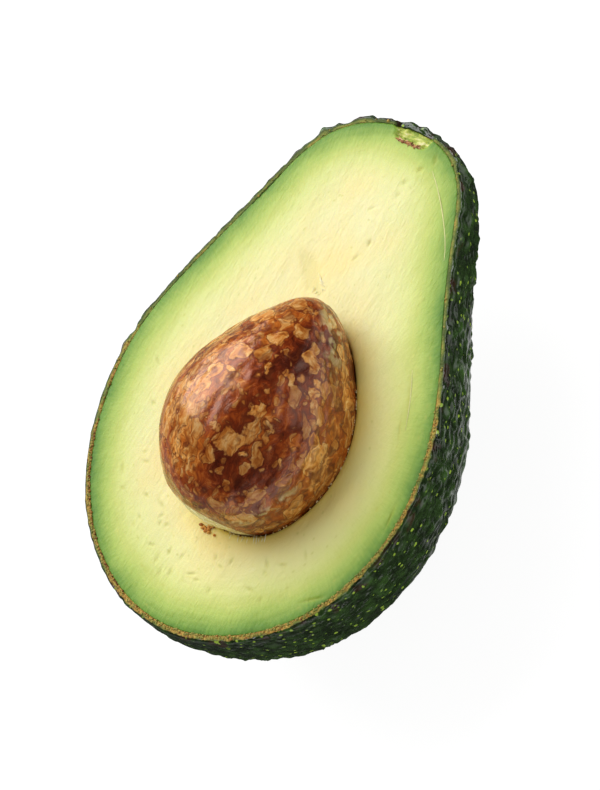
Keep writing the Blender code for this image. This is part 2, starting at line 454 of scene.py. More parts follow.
def peel_material(look):
    """Waxy avocado peel, glossy on its pebbles; where it was cut it is matt, fibrous and gritty."""
    material, add = new_material("avocado_peel")
    place = in_millimetres(add)
    pebble = add("Attribute", output="Fac", attribute_name="pebble")
    cloud = add("TexNoise", {"Vector": place, "Scale": 1 / 8, "Detail": 4.0})
    grain = add("TexNoise", {"Vector": place, "Scale": 1 / 0.8, "Detail": 4.0})
    # Painted shade: the green darkens from the pebbles' tops into the hollows between them, as light falls
    # on them; a broad noise adds the peel's own uneven tone.
    height = add("Math", (cloud, 0.8, pebble), operation="MULTIPLY_ADD")
    lit = add("MapRange", (height, 0.45, 1.35))
    green = blend(add, lit, look.shade, look.green)
    speckle = add("MapRange", (grain, 0.48, 0.75, 0.0, 0.45))
    mottled = blend(add, speckle, green, look.freckle)
    # Brown patches, only within a few millimetres of the cut.
    blush_noise = add("TexNoise", {"Vector": place, "Scale": 1 / 4, "Detail": 3.0})
    near_cut = add("Attribute", output="Fac", attribute_name="near_cut")
    blush = add("Math", (blush_noise, near_cut), operation="MULTIPLY")
    blush_share = add("MapRange", (blush, 0.53, 0.62, 0.0, 0.8))
    blushed = blend(add, blush_share, mottled, look.blush)
    # Corky dots half a millimetre across: balls of a cell pattern that the surface cuts.
    push = add("TexNoise", {"Vector": place, "Scale": 1 / 0.9, "Detail": 1.0}, output="Color")
    bent = add("VectorMath", (push, (0.6, 0.6, 0.6), place), operation="MULTIPLY_ADD")
    long = add("Mapping", {"Vector": bent, "Scale": (1.0, 0.9, 1.0)})
    dots = add("TexVoronoi", {"Vector": long, "Scale": 1 / 1.4}, output="Distance")
    luck = add("TexVoronoi", {"Vector": long, "Scale": 1 / 1.4}, output="Color")
    bright = add("MapRange", (luck, 0.25, 0.75))
    radius = add("MapRange", (luck, 0.25, 0.80, 0.13, 0.29))
    inside = add("Math", (radius, dots), operation="SUBTRACT")
    dot = add("MapRange", (inside, 0.0, 0.09))
    dot_share = add("Math", (dot, 0.95), operation="MULTIPLY")
    dot_colour = blend(add, bright, look.dull_lenticel, look.lenticel)
    dotted = blend(add, dot_share, blushed, dot_colour)
    waxy_rough = add("MapRange", (grain, 0.3, 0.7, 0.15, 0.26))
    # Small beads between the pebbles, thicker in some parts than in others.
    bead_place = add("Mapping", {"Vector": bent, "Scale": (1.0, 0.7, 1.0)})
    beads = add(
        "TexVoronoi",
        {"Vector": bead_place, "Scale": 1 / 1.5, "Smoothness": 0.5},
        output="Distance",
        feature="SMOOTH_F1",
    )
    bead = add("MapRange", (beads, 0.55, 0.05), interpolation_type="SMOOTHSTEP")
    thick = add("TexNoise", {"Vector": place, "Scale": 1 / 7, "Detail": 1.0})
    thick = add("MapRange", (thick, 0.35, 0.6, 0.3))
    bead = add("Math", (bead, thick), operation="MULTIPLY")
    waxy_height = add("Math", (grain, 0.08, bead), operation="MULTIPLY_ADD")
    waxy_bump = add("Bump", {"Height": waxy_height, "Distance": 0.42 * MM})
    waxy = add(
        "BsdfPrincipled",
        {"Base Color": dotted, "Roughness": waxy_rough, "Normal": waxy_bump, "Specular IOR Level": 0.5},
    )
    # The cut edge.
    across = add("Attribute", output="Fac", attribute_name="across")
    ochre = add("Attribute", output="Fac", attribute_name="ochre")
    grit = add("TexNoise", {"Vector": place, "Scale": 1 / 0.45, "Detail": 4.0})
    patch = add("TexNoise", {"Vector": place, "Scale": 1 / 3.0, "Detail": 2.0})
    wavy = add("Math", (grit, 0.45, across), operation="MULTIPLY_ADD")
    olive = add(
        "ValToRGB",
        (wavy,),
        stops={0.42: "#2c3716", 0.58: "#5b6824", 0.76: "#8a9136", 0.94: "#9a9c3e", 1.0: "#5c7024"},
    )
    sandy = add(
        "ValToRGB", (grit,), stops={0.30: "#6b4214", 0.44: "#9c7124", 0.56: "#b8923a", 0.72: "#ceb455"}
    )
    sand = add("Math", (patch, 1.5, ochre), operation="MULTIPLY_ADD")
    sand = add("Math", (across, 0.5, sand), operation="MULTIPLY_ADD")
    sand_share = add("MapRange", (sand, 1.45, 1.75))
    green_rind = add("MapRange", (sand, 1.6, 1.1, 0.0, 0.85))
    olive = blend(add, green_rind, olive, look.rind)
    corky_colour = blend(add, sand_share, olive, sandy)
    corky_bump = add("Bump", {"Height": grit, "Distance": 0.35 * MM})
    corky = add("BsdfPrincipled", {"Base Color": corky_colour, "Roughness": 0.75, "Normal": corky_bump})
    frayed = add("Math", (grit, 0.30, across), operation="MULTIPLY_ADD")
    cut_share = add("MapRange", (frayed, 0.42, 0.50))
    surface = add("MixShader", (cut_share, waxy, corky))
    add("OutputMaterial", {"Surface": surface})
    return material


def flesh_material(look):
    """Ripe avocado flesh: oily and soft, cut with a knife, so it is satin and lets some light in."""
    material, add = new_material("avocado_flesh")
    place = in_millimetres(add)
    depth = add("Attribute", output="Fac", attribute_name="depth")
    flow = add("UVMap", uv_map="flow")
    # The green fades inwards over about 12 mm, unevenly: in patches, and along the grain of the flesh.
    patches = add("TexNoise", {"Vector": place, "Scale": 1 / 8, "Detail": 3.0})
    streak_place = add("Mapping", {"Vector": flow, "Scale": (1 / 9.0, 1 / 0.8, 1.0)})
    streaks = add("TexNoise", {"Vector": streak_place, "Scale": 1.0, "Detail": 3.0})
    hair_place = add("Mapping", {"Vector": flow, "Scale": (1 / 0.55, 1 / 1.8, 1.0)})
    hairs = add("TexNoise", {"Vector": hair_place, "Scale": 1.0, "Detail": 3.0})
    inwards = depth
    for noise, weight in ((patches, 3.0), (streaks, 1.0), (hairs, 1.5)):
        inwards = add("Math", (noise, weight, inwards), operation="MULTIPLY_ADD")
    centred = add("Math", (inwards, 2.35), operation="SUBTRACT")
    share = add("MapRange", (centred, 0.0, 20.0))
    ramp = add(
        "ValToRGB",
        (share,),
        stops={
            0.00: "#4c7c1e", 0.06: "#719a32", 0.12: "#90ae45", 0.20: "#aec45b",
            0.29: "#c4cf6d", 0.40: "#d6dc88", 0.56: "#e2e29c", 0.85: "#eae4a8",
        },
    )
    warm_noise = add("TexNoise", {"Vector": place, "Scale": 1 / 13, "Detail": 2.0})
    deep = add("MapRange", (depth, 7.0, 16.0))
    warm_share = add("MapRange", (warm_noise, 0.42, 0.68, 0.0, 0.7))
    warm = add("Math", (deep, warm_share), operation="MULTIPLY")
    warmed = blend(add, warm, ramp, look.warm)
    # Yellower towards the seed all round, and a deeper olive yellow on one side that is painted shadow of
    # the seed.
    near_seed = add("Attribute", output="Fac", attribute_name="near_seed")
    golden = blend(add, near_seed, warmed, look.seed_yellow_and_shadow)
    # Little green-yellow dashes where strands of the fruit are cut.
    dash_place = add("Mapping", {"Vector": flow, "Scale": (1 / 4.2, 1 / 2.0, 1.0)})
    dashes = add("TexVoronoi", {"Vector": dash_place, "Scale": 1.0}, output="Distance")
    dash_share = add("MapRange", (dashes, 0.16, 0.04, 0.0, 0.35))
    dashed = blend(add, dash_share, golden, look.dash)
    pit = add("Attribute", output="Fac", attribute_name="pit")
    pitted = blend(add, pit, dashed, look.dash)
    # The torn stem end, bright yellow green with dark streaks.
    torn = add("Attribute", output="Fac", attribute_name="torn")
    tear_place = add("Mapping", {"Vector": place, "Scale": (1 / 2.6, 1 / 0.6, 1 / 0.6)})
    tear_noise = add("TexNoise", {"Vector": tear_place, "Scale": 1.0, "Detail": 3.0})
    tear = add(
        "ValToRGB",
        (tear_noise,),
        stops={0.30: "#6d8a20", 0.42: "#a5b43c", 0.54: "#c9cd68", 0.66: "#e6e2a2"},
    )
    coloured = blend(add, torn, pitted, tear)
    fine_place = add(
        "Mapping",
        {"Vector": place, "Rotation": (0, 0, math.radians(38)), "Scale": (1 / 0.55, 1 / 1.9, 1.0)},
    )
    fine = add("TexNoise", {"Vector": fine_place, "Scale": 1.0, "Detail": 3.0, "Distortion": 0.6})
    grit = add("TexNoise", {"Vector": place, "Scale": 1 / 0.3, "Detail": 2.0})
    outwards = add("MapRange", (depth, 12.0, 2.0, 0.15))
    hair_height = add("Math", (hairs, outwards), operation="MULTIPLY")
    heights = add("Math", (hair_height, 0.5, fine), operation="MULTIPLY_ADD")
    rough_heights = add("Math", (grit, 0.25, heights), operation="MULTIPLY_ADD")
    bump = add("Bump", {"Height": rough_heights, "Distance": 0.12 * MM})
    surface = add(
        "BsdfPrincipled",
        {
            "Base Color": coloured,
            "Roughness": 0.5,
            "Normal": bump,
            "Specular IOR Level": 0.3,
            "Subsurface Weight": 0.3,
            "Subsurface Radius": (1.0, 0.75, 0.3),
            "Subsurface Scale": 1.2 * MM,
        },
    )
    add("OutputMaterial", {"Surface": surface})
    return material


def seed_material(look):
    """Seed coat: thin, hard and brown, polished by the moist flesh, mottled tan where it is worn through."""
    material, add = new_material("seed_coat")
    place = add("TexCoord", output="Object")
    middle = tuple(to_world(np.array(SEED_PLACE)))
    turned = add(
        "Mapping",
        {"Vector": place, "Location": middle, "Rotation": tuple(SEED_TURN)},
        vector_type="TEXTURE",
    )
    local = in_millimetres(add, turned)
    push = add("TexNoise", {"Vector": local, "Scale": 1 / 2.6, "Detail": 1.5}, output="Color")
    bent = add("VectorMath", (push, (2.8, 2.8, 2.8), local), operation="MULTIPLY_ADD")
    long = add("Mapping", {"Vector": bent, "Scale": (1.0, 0.7, 1.0)})
    streak_place = add("Mapping", {"Vector": bent, "Scale": (1.0, 0.25, 1.0)})
    ragged = add("TexNoise", {"Vector": long, "Scale": 1 / 0.9, "Detail": 4.0, "Roughness": 0.65})
    streaks = add("TexNoise", {"Vector": streak_place, "Scale": 1 / 1.1, "Detail": 5.0, "Roughness": 0.65})
    # The coat is darker along a line down the seed, the Dark side distance from its middle, and lighter,
    # with more tan, away from it on both sides.
    sideways = add("SeparateXYZ", (bent,), output="X")
    off_dark_line = off(add, sideways, look.dark_line)
    lighter_off_line = add("MapRange", (off_dark_line, 2.0, 12.0, 0.0, 0.24))
    cloud = add("TexNoise", {"Vector": long, "Scale": 1 / 6, "Detail": 4.0})
    worn = add("Math", (cloud, lighter_off_line), operation="ADD")
    mixed = add("Math", (streaks, 0.8, worn), operation="MULTIPLY_ADD")
    rust = add("MapRange", (mixed, 0.70, 1.22))
    colours = add(
        "ValToRGB",
        (rust,),
        stops={0.0: "#461000", 0.28: "#702400", 0.52: "#963f06", 0.76: "#ba661c", 1.0: "#dc9a4e"},
    )
    # Tan blobs of two sizes, with ragged edges and dark borders, each worn to its own degree.
    tan = add(
        "ValToRGB", (streaks,), stops={0.34: "#a45614", 0.43: "#ca7a2a", 0.53: "#e49f4c", 0.68: "#f8ca80"}
    )
    for size, smallest, largest, strength in ((1.3, -0.22, 0.60, 0.8), (2.6, -0.16, 0.78, 1.0)):
        layout = {"Vector": long, "Scale": 1 / size, "Smoothness": 0.4}
        gap = add("TexVoronoi", layout, output="Distance", feature="SMOOTH_F1")
        luck = add("TexVoronoi", layout, output="Color", feature="SMOOTH_F1")
        reach = add("MapRange", (luck, 0.3, 0.8, smallest, largest))
        reach = add("Math", (worn, 0.9, reach), operation="MULTIPLY_ADD")
        inside = add("Math", (reach, gap), operation="SUBTRACT")
        inside = add("Math", (ragged, 0.65, inside), operation="MULTIPLY_ADD")
        border = add(
            "MapRange", (inside, 0.48, 0.72, 0.0, 0.75 * strength), interpolation_type="SMOOTHSTEP"
        )
        level = add("SeparateColor", (luck,), output="Red")
        most = add("MapRange", (level, 0.0, 1.0, 0.35 * strength, strength))
        bare = add("MapRange", (inside, 0.71, 0.86, 0.0, most), interpolation_type="SMOOTHSTEP")
        colours = blend(add, border, colours, look.dark)
        colours = blend(add, bare, colours, tan)
        # A dark ring or dot in some of them.
        ringed = add("MapRange", (level, 0.50, 0.60))
        from_ring = off(add, gap, 0.5 / size)
        ring = add("MapRange", (from_ring, 0.34 / size, 0.08 / size, 0.0, 0.5 * strength))
        ring_share = add("Math", (ring, ringed), operation="MULTIPLY")
        colours = blend(add, ring_share, colours, look.pore)
    # Thin dark veins.
    vein_noise = add("TexNoise", {"Vector": long, "Scale": 1 / 4, "Detail": 3.0})
    off_vein = off(add, vein_noise, 0.5)
    vein = add("MapRange", (off_vein, 0.026, 0.004, 0.0, 0.4))
    colours = blend(add, vein, colours, look.dark)
    pores = add("TexVoronoi", {"Vector": long, "Scale": 1 / 0.9}, output="Distance")
    pore = add("MapRange", (pores, 0.34, 0.20, 0.0, 0.6))
    pore_share = add("Math", (pore, bare), operation="MULTIPLY")
    pored = blend(add, pore_share, colours, look.pore)
    pale = add("Attribute", output="Fac", attribute_name="pale")
    pale_colour = add("ValToRGB", (streaks,), stops={0.30: "#b8a05a", 0.46: "#e0d08a", 0.62: "#f6eebe"})
    paled = blend(add, pale, pored, pale_colour)
    fine = add("TexNoise", {"Vector": streak_place, "Scale": 1 / 0.35, "Detail": 3.0})
    heights = add("Math", (bare, 0.15, fine), operation="MULTIPLY_ADD")
    bump = add("Bump", {"Height": heights, "Distance": 0.045 * MM})
    gloss = add("MapRange", (streaks, 0.3, 0.7, 0.20, 0.30))
    surface = add(
        "BsdfPrincipled",
        {
            "Base Color": paled,
            "Roughness": gloss,
            "Normal": bump,
            "Specular IOR Level": 0.85,
            "Specular Tint": linear("#ffd8c4"),
        },
    )
    add("OutputMaterial", {"Surface": surface})
    return material


def crumb_material(name, stops, roughness=0.7):
    """Bits of plant tissue, dry and matt: each has its own shade, set by its draw."""
    material, add = new_material(name)
    place = in_millimetres(add)
    draw = add("Attribute", output="Fac", attribute_name="draw")
    grit = add("TexNoise", {"Vector": place, "Scale": 1 / 0.25, "Detail": 2.0})
    tone = add("Math", (grit, 0.3, draw), operation="MULTIPLY_ADD")
    shade = add("Math", (tone, 0.15), operation="SUBTRACT")
    colour = add("ValToRGB", (shade,), stops=stops)
    bump = add("Bump", {"Height": grit, "Distance": 0.08 * MM})
    surface = add("BsdfPrincipled", {"Base Color": colour, "Roughness": roughness, "Normal": bump})
    add("OutputMaterial", {"Surface": surface})
    return material


# The pieces.

SKIN_SEGMENTS = 760
SKIN_OUTER_RINGS = 108
SKIN_RIM_RINGS = 11
SKIN_INNER_RINGS = 13
EDGE_ROUNDING = 0.4 * MM
MOST_OCHRE = 0.7


def pebbles(points, look):
    """How far the peel's pebbles stand out at each point, and the height of the nearest as a share."""
    bent = bend(points, 5 * MM, 1.3 * MM, 3)
    near, draw = cells(bent, np.array((0.9, 1.3, 0.9)) * look.pebble_size, 1)
    dome = np.exp(-((near / 0.45) ** 2)) * (0.4 + 0.6 * draw)
    small, _ = cells(bent, np.array((0.6, 0.8, 0.6)) * look.pebble_size, 2)
    bead = np.exp(-((small / 0.42) ** 2)) * smooth_step(-0.3, 0.4, wander(points, 9 * MM, 2, 6))
    ridges = wander(bent, np.array((0.9, 2.2, 0.9)) * look.pebble_size, 2, 9)
    # Smoother towards the blossom end near the cut, and here and there elsewhere.
    y, z = points[:, 1], points[:, 2]
    calm = smooth_step(-8 * MM, -24 * MM, y) * smooth_step(-16 * MM, -4 * MM, z)
    strength = (1 - 0.75 * calm) * np.clip(0.9 + 0.4 * wander(points, 18 * MM, 2, 5), 0.4, 1.2)
    height = strength * (0.75 * dome + 0.12 * bead + 0.50 * ridges - 0.12) + 0.08
    return look.pebble_height * height, dome


class AVOCADO_OT_skin(bpy.types.Operator):
    """Make the pebbly peel with its cut edge"""

    bl_idname = "avocado.skin"
    bl_label = "Skin"

    def execute(self, context):
        look = context.scene.avocado.skin
        rings = SKIN_OUTER_RINGS + SKIN_RIM_RINGS + SKIN_INNER_RINGS
        skin, segment, ring = add_sheet("avocado_skin", SKIN_SEGMENTS, rings)
        share = segment / SKIN_SEGMENTS

        # Rings run up the outside, closer together near the cut, over the cut edge, and down the inside.
        _, rim, edge = (line[segment % SKIN_SEGMENTS] for line in rim_lines(SKIN_SEGMENTS, look.thickness))
        torn = in_notch(rim * np.array((1, 0.985, 1)))
        across = np.clip((ring - SKIN_OUTER_RINGS) / SKIN_RIM_RINGS, 0, 1)
        outer_share = np.clip(ring / SKIN_OUTER_RINGS, 0, 1) ** 0.65
        inner_share = np.clip((rings - ring) / SKIN_INNER_RINGS, 0, 1)
        outer = ring <= SKIN_OUTER_RINGS
        inner = ring >= SKIN_OUTER_RINGS + SKIN_RIM_RINGS
        top_slope = (EDGE_ROUNDING + 0.6 * MM * torn) / np.linalg.norm(rim - HEART, axis=1)
        outer_slope = top_slope + (math.pi / 2 - top_slope) * (1 - outer_share)
        slope = np.where(inner, (math.pi / 2) * (1 - inner_share), outer_slope)
        smooth = cast(directions(share, slope), outside_fruit)
        normals = surface_normals(smooth, outside_fruit)
        height, dome = pebbles(smooth, look)
        points = smooth + normals * np.where(inner, -look.thickness, height)[:, None]

        on_rim = ~inner & ~outer
        start = points[ring_mates(segment, ring, SKIN_OUTER_RINGS)]
        points[on_rim, :2] = (start + (edge - start) * across[:, None])[on_rim, :2]
        grit = wander(points, 0.8 * MM, 2, 12)
        rounded = (1 - np.clip(across / 0.35, 0, 1)) ** 2
        rim_height = start[:, 2] * rounded + (0.10 * MM * grit - 0.7 * MM * torn) * (1 - rounded)
        rim_height += 0.35 * MM * torn * wander(points, 1.5 * MM, 2, 14)
        points[on_rim, 2] = (rim_height - 0.10 * MM * smooth_step(0.8, 1.0, across))[on_rim]
        last = ring == SKIN_OUTER_RINGS + SKIN_RIM_RINGS
        points[last] = edge[last]
        points[last, 2] = -0.10 * MM - 0.9 * MM * torn[last]
        world = to_world(points)
        world[:, 2] = np.maximum(world[:, 2], np.where(inner, look.thickness, 0.0))
        write_points(skin, world)

        # The pebbles' heights, which the peel's material turns into painted shade between them.
        write_attribute(skin, "pebble", dome)
        write_attribute(skin, "near_cut", smooth_step(-8 * MM, -1 * MM, points[:, 2]))
        ochre = rim_ochre(points)
        write_attribute(skin, "across", across * (1 - torn) * (0.78 + 0.4 * ochre))
        write_attribute(skin, "ochre", ochre)
        skin.data.materials.append(peel_material(look))
        close_up(skin)
        settle(skin, "skin")
        return {"FINISHED"}


def rim_lines(segments, inset):
    """Level directions from the heart, the fruit's edge at the cut, and that edge moved in by the peel."""
    share = np.arange(segments) / segments
    level = directions(share, np.zeros(segments))
    rim = cast(level, outside_fruit)
    return level, rim, rim - surface_normals(rim, outside_fruit) * inset


def ring_mates(segment, ring, chosen):
    """For each point, the index of the point in the same segment on a chosen ring."""
    found = np.zeros(segment.max() + 1, dtype=int)
    on = ring == chosen
    found[segment[on]] = np.nonzero(on)[0]
    return found[segment]


def rim_ochre(points):
    """Where the cut edge is gritty and ochre: at the blossom end, and along part of either side."""
    x, y = points[:, 0], points[:, 1]
    blossom = smooth_step(-20 * MM, -36 * MM, y)
    side = smooth_step(20 * MM, 30 * MM, x) * smooth_step(10 * MM, 2 * MM, y)
    left = smooth_step(-20 * MM, -30 * MM, x) * smooth_step(5 * MM, -10 * MM, y)
    return np.clip(0.22 + 0.40 * blossom + 0.35 * side + 0.22 * left, 0, MOST_OCHRE)


FLESH_SEGMENTS = 660
FLESH_WALL_RINGS = 10
FLESH_FACE_RINGS = 126
FLESH_HOLLOW_RINGS = 10
SEED_TOUCH = 0.08 * MM

# Dents in the cut face where strands were cut or torn: x, y, length and width in mm, turn in degrees, and
# depth in mm.
PITS = (
    (9.3, 46.6, 2.4, 0.9, -70, 0.25),
    (7.1, 44.0, 1.6, 1.0, 50, 0.30),
    (5.2, 40.8, 1.4, 0.8, 60, 0.20),
    (5.2, 38.3, 1.2, 0.7, 80, 0.15),
    (4.3, 28.1, 1.5, 0.9, 95, 0.25),
    (1.2, 34.4, 1.8, 0.6, 40, 0.15),
    (3.0, 24.6, 1.8, 0.6, 60, 0.15),
    (28.9, -34.5, 5.0, 0.7, 33, 0.25),
    (35.6, -15.9, 4.6, 0.5, -85, 0.20),
    (28.0, 4.2, 10.0, 0.6, -66, 0.06),
    (29.0, -1.2, 6.5, 0.5, -68, 0.06),
)


def small_dents():
    """Dents scattered round the seed, most of them at the blossom end, listed like the ones above."""
    chance = random.Random(23)
    for _ in range(34):
        turn, reach = math.radians(chance.gauss(-100, 38)), chance.uniform(27, 36)
        yield (
            SEED_X / MM + reach * math.cos(turn),
            SEED_Y / MM + reach * math.sin(turn),
            chance.uniform(0.8, 2.6),
            chance.uniform(0.5, 0.9),
            math.degrees(turn) + chance.gauss(0, 50),
            chance.uniform(0.08, 0.22),
        )


def skin_depth(points, inset):
    """Distance from the inner edge of the peel, for points on the cut face."""
    edge = rim_lines(500, inset)[2][:, :2]
    nearest = np.empty(len(points))
    for start in range(0, len(points), 4000):
        block = points[start : start + 4000, None, :2] - edge[None]
        nearest[start : start + 4000] = np.sqrt((block**2).sum(axis=2).min(axis=1))
    return nearest


def channel(points):
    """1 on the smooth shallow patch above the seed's tip, 0 around it."""
    x, y = points[:, 0] / MM, points[:, 1] / MM
    across = x + 4.2 + 0.9 * (y - 18.8)
    ragged = 0.25 * wander(points, 1.1 * MM, 2, 71)
    return smooth_step(-3.4, -1.2, across) * smooth_step(2.6, 0.8, across + ragged) * smooth_step(
        15.6, 16.2, y + ragged
    ) * smooth_step(23.5, 20.5, y)


class AVOCADO_OT_flesh(bpy.types.Operator):
    """Make the flesh: cut face, hollow for the seed and the side under the peel"""

    bl_idname = "avocado.flesh"
    bl_label = "Flesh"

    def execute(self, context):
        look = context.scene.avocado.flesh
        inset = context.scene.avocado.skin.thickness
        rings = FLESH_WALL_RINGS + FLESH_FACE_RINGS + FLESH_HOLLOW_RINGS
        flesh, segment, ring = add_sheet("avocado_flesh", FLESH_SEGMENTS, rings)
        share = segment / FLESH_SEGMENTS
        wall = ring < FLESH_WALL_RINGS
        hollow = ring > FLESH_WALL_RINGS + FLESH_FACE_RINGS
        face = ~wall & ~hollow

        level, _, edge = rim_lines(FLESH_SEGMENTS, inset)
        seed_edge = cast(level, outside_seed) + level * SEED_TOUCH
        edge, seed_edge = edge[segment % FLESH_SEGMENTS], seed_edge[segment % FLESH_SEGMENTS]
        inwards = np.clip((ring - FLESH_WALL_RINGS) / FLESH_FACE_RINGS, 0, 1)
        points = edge + (seed_edge - edge) * inwards[:, None]
        points[:, 2] = 0.0
        reach = np.linalg.norm(edge - points, axis=1)
        around = share * RIM_LENGTH

        on_face = points[face]
        depth = skin_depth(on_face, inset)
        near_seed = np.linalg.norm(seed_edge[face] - on_face, axis=1)
        grain = np.stack([around[face], reach[face], np.zeros(face.sum())], axis=1)
        dents = PITS + tuple(small_dents())
        pits = [spot(on_face, *dent[:5]) for dent in dents]
        smooth_patch = channel(on_face)
        torn = in_notch(on_face)
        swell = 0.16 * MM * wander(on_face, (10 * MM, 20 * MM, 1 * MM), 2, 8)
        streaks = 0.4 * wander(grain, (7 * MM, 1.0 * MM, 1 * MM), 2, 1) + 0.8 * wander(
            on_face, (1.6 * MM, 5 * MM, 1 * MM), 2, 2
        )
        height = swell + look.relief * streaks * (1 - smooth_patch)
        height -= 0.20 * MM * smooth_patch + 0.30 * MM * np.exp(-near_seed / (0.35 * MM))
        height -= 0.10 * MM * np.exp(-depth / (0.3 * MM))
        # The flesh is yellower by the seed all round; the stronger tint on one side is painted shadow of the
        # seed.
        away = on_face - seed_edge[face].mean(axis=0)
        side = smooth_step(-0.6, 0.6, (0.85 * away[:, 0] - 0.5 * away[:, 1]) / np.linalg.norm(away, axis=1))
        seed_yellow_and_shadow = (0.25 + 0.6 * side) * np.exp(-near_seed / (3.5 * MM))
        for pit, (*_, deep) in zip(pits, dents):
            height -= deep * MM * pit
        height -= torn * (0.9 * MM + 0.25 * MM * wander(on_face, 1.2 * MM, 2, 6))
        points[face, 2] = height

        slope = (math.pi / 2) * (1 - ring / FLESH_WALL_RINGS)
        under = cast(directions(share, np.clip(slope, 0, math.pi / 2)), outside_fruit)
        under -= surface_normals(under, outside_fruit) * inset
        points[wall] = under[wall]
        points[wall, 2] = np.minimum(points[wall, 2], -1.2 * MM)
        hollow_share = (rings - ring) / FLESH_HOLLOW_RINGS
        down = directions(share, (math.pi / 2) * np.clip(1 - hollow_share, 0, 1))
        bowl = cast(down, outside_seed) + down * FIT_GAP
        points[hollow] = bowl[hollow]
        # The last segment lies on the first, so the sheet closes.
        points[segment == FLESH_SEGMENTS] = points[segment == 0]

        world = to_world(points)
        world[:, 2] = np.maximum(world[:, 2], np.where(wall, inset, 0.0))
        write_points(flesh, world)
        marks = {name: np.zeros(len(points)) for name in ("depth", "near_seed", "pit", "torn")}
        marks["depth"][hollow] = 20.0
        marks["depth"][face] = depth / MM
        # The yellow by the seed, with the painted shadow of the seed on one side.
        marks["near_seed"][face] = seed_yellow_and_shadow
        marks["near_seed"][hollow] = 0.6
        marks["pit"][face] = np.clip(0.40 * np.sum(pits, axis=0) + 0.16 * smooth_patch, 0, 0.5)
        marks["torn"][face] = torn
        for name, values in marks.items():
            write_attribute(flesh, name, values)
        write_flow(flesh, around / MM, reach / MM)
        flesh.data.materials.append(flesh_material(look))
        close_up(flesh)
        settle(flesh, "flesh")
        return {"FINISHED"}


def write_flow(piece, around, inward):
    """A map in millimetres: U round the fruit, V inwards from the peel."""
    layer = piece.data.uv_layers.new(name="flow")
    corners = np.empty(len(piece.data.loops), dtype=np.int32)
    piece.data.loops.foreach_get("vertex_index", corners)
    flow = np.stack([around[corners], inward[corners]], axis=1)
    layer.data.foreach_set("uv", flow.astype(np.float32).ravel())


SEED_SEGMENTS = 340
SEED_RINGS = 240


class AVOCADO_OT_seed(bpy.types.Operator):
    """Make the mottled seed"""

    bl_idname = "avocado.seed"
    bl_label = "Seed"

    def execute(self, context):
        look = context.scene.avocado.seed
        seed, segment, ring = add_sheet("avocado_seed", SEED_SEGMENTS, SEED_RINGS)
        u = -np.cos(math.pi * ring / SEED_RINGS)
        turn = 2 * math.pi * segment / SEED_SEGMENTS
        radius = egg_outline(SEED_TERMS, u)
        local = np.stack(
            [radius * np.cos(turn), u * SEED_LENGTH / 2, SEED_RISE * radius * np.sin(turn)], axis=1
        )
        ridges = wander(local, (5 * MM, 14 * MM, 5 * MM), 3, 6)
        dents = wander(local, (2.2 * MM, 4 * MM, 2.2 * MM), 2, 9)
        outwards = local / np.linalg.norm(local, axis=1, keepdims=True)
        local += outwards * (look.relief * (ridges + 0.35 * dents) - 0.08 * MM)[:, None]
        placed = local @ np.array(SEED_TURN.to_matrix()).T + np.array(SEED_PLACE)
        write_points(seed, to_world(placed))
        write_attribute(seed, "pale", pale_parts(placed))
        seed.data.materials.append(seed_material(look))
        close_up(seed)
        settle(seed, "seed")
        return {"FINISHED"}


def pale_parts(points):
    """Where the seed's coat has rubbed off: a spot at its foot, and ragged parts by its tip and low down."""
    ragged = wander(points, (2.0 * MM, 2.0 * MM, 1.2 * MM), 3, 21)
    facing = surface_normals(points, outside_seed)
    foot = smooth_step(0.80, 0.82, facing @ np.array((-0.193, -0.940, -0.282)))
    tip = smooth_step(0.93, 0.985, facing @ np.array((0.68, 0.70, 0.20))) * smooth_step(-0.1, 0.3, ragged)
    hem = np.exp(-(((points[:, 2] - 6.8 * MM) / (0.9 * MM)) ** 2)) * smooth_step(0.2, 0.5, facing[:, 0])
    hem *= smooth_step(-0.2, -0.5, facing[:, 1]) * smooth_step(-0.1, 0.3, ragged)
    return np.clip(foot + 0.5 * tip + 0.6 * hem, 0, 1)


def add_mesh(name, points, faces, draws):
    """A piece made straight from points and faces, with a draw for each point that sets its shade."""
    mesh = bpy.data.meshes.new(name)
    mesh.from_pydata([tuple(point) for point in to_world(points)], [], faces)
    piece = bpy.data.objects.new(name, mesh)
    bpy.context.scene.collection.objects.link(piece)
    write_attribute(piece, "draw", draws)
    return piece


def add_bits(name, template, places, sizes, draws, chance):
    """One mesh of many small lumps: a rough ball set down at each place, squashed and turned by chance."""
    points, faces = template
    all_points, all_faces, all_draws = [], [], []
    for place, size, draw in zip(places, sizes, draws):
        turn = Euler([chance.uniform(0, 6.28) for _ in range(3)]).to_matrix()
        squash = np.array([chance.uniform(0.7, 1.25) for _ in range(3)])
        dents = np.array([chance.uniform(0.8, 1.15) for _ in points])[:, None]
        shaped = (points * dents * squash * size) @ np.array(turn).T + place
        all_faces += [[corner + len(all_points) * len(points) for corner in face] for face in faces]
        all_points.append(shaped)
        all_draws += [draw] * len(points)
    return add_mesh(name, np.concatenate(all_points), all_faces, all_draws)


def lump_template():
    """Points and faces of a small ball."""
    deselect_all()
    bpy.ops.mesh.primitive_ico_sphere_add(subdivisions=2, radius=1.0)
    ball = bpy.context.active_object
    faces = [tuple(face.vertices) for face in ball.data.polygons]
    points = read_points(ball)
    bpy.data.objects.remove(ball)
    return points, faces


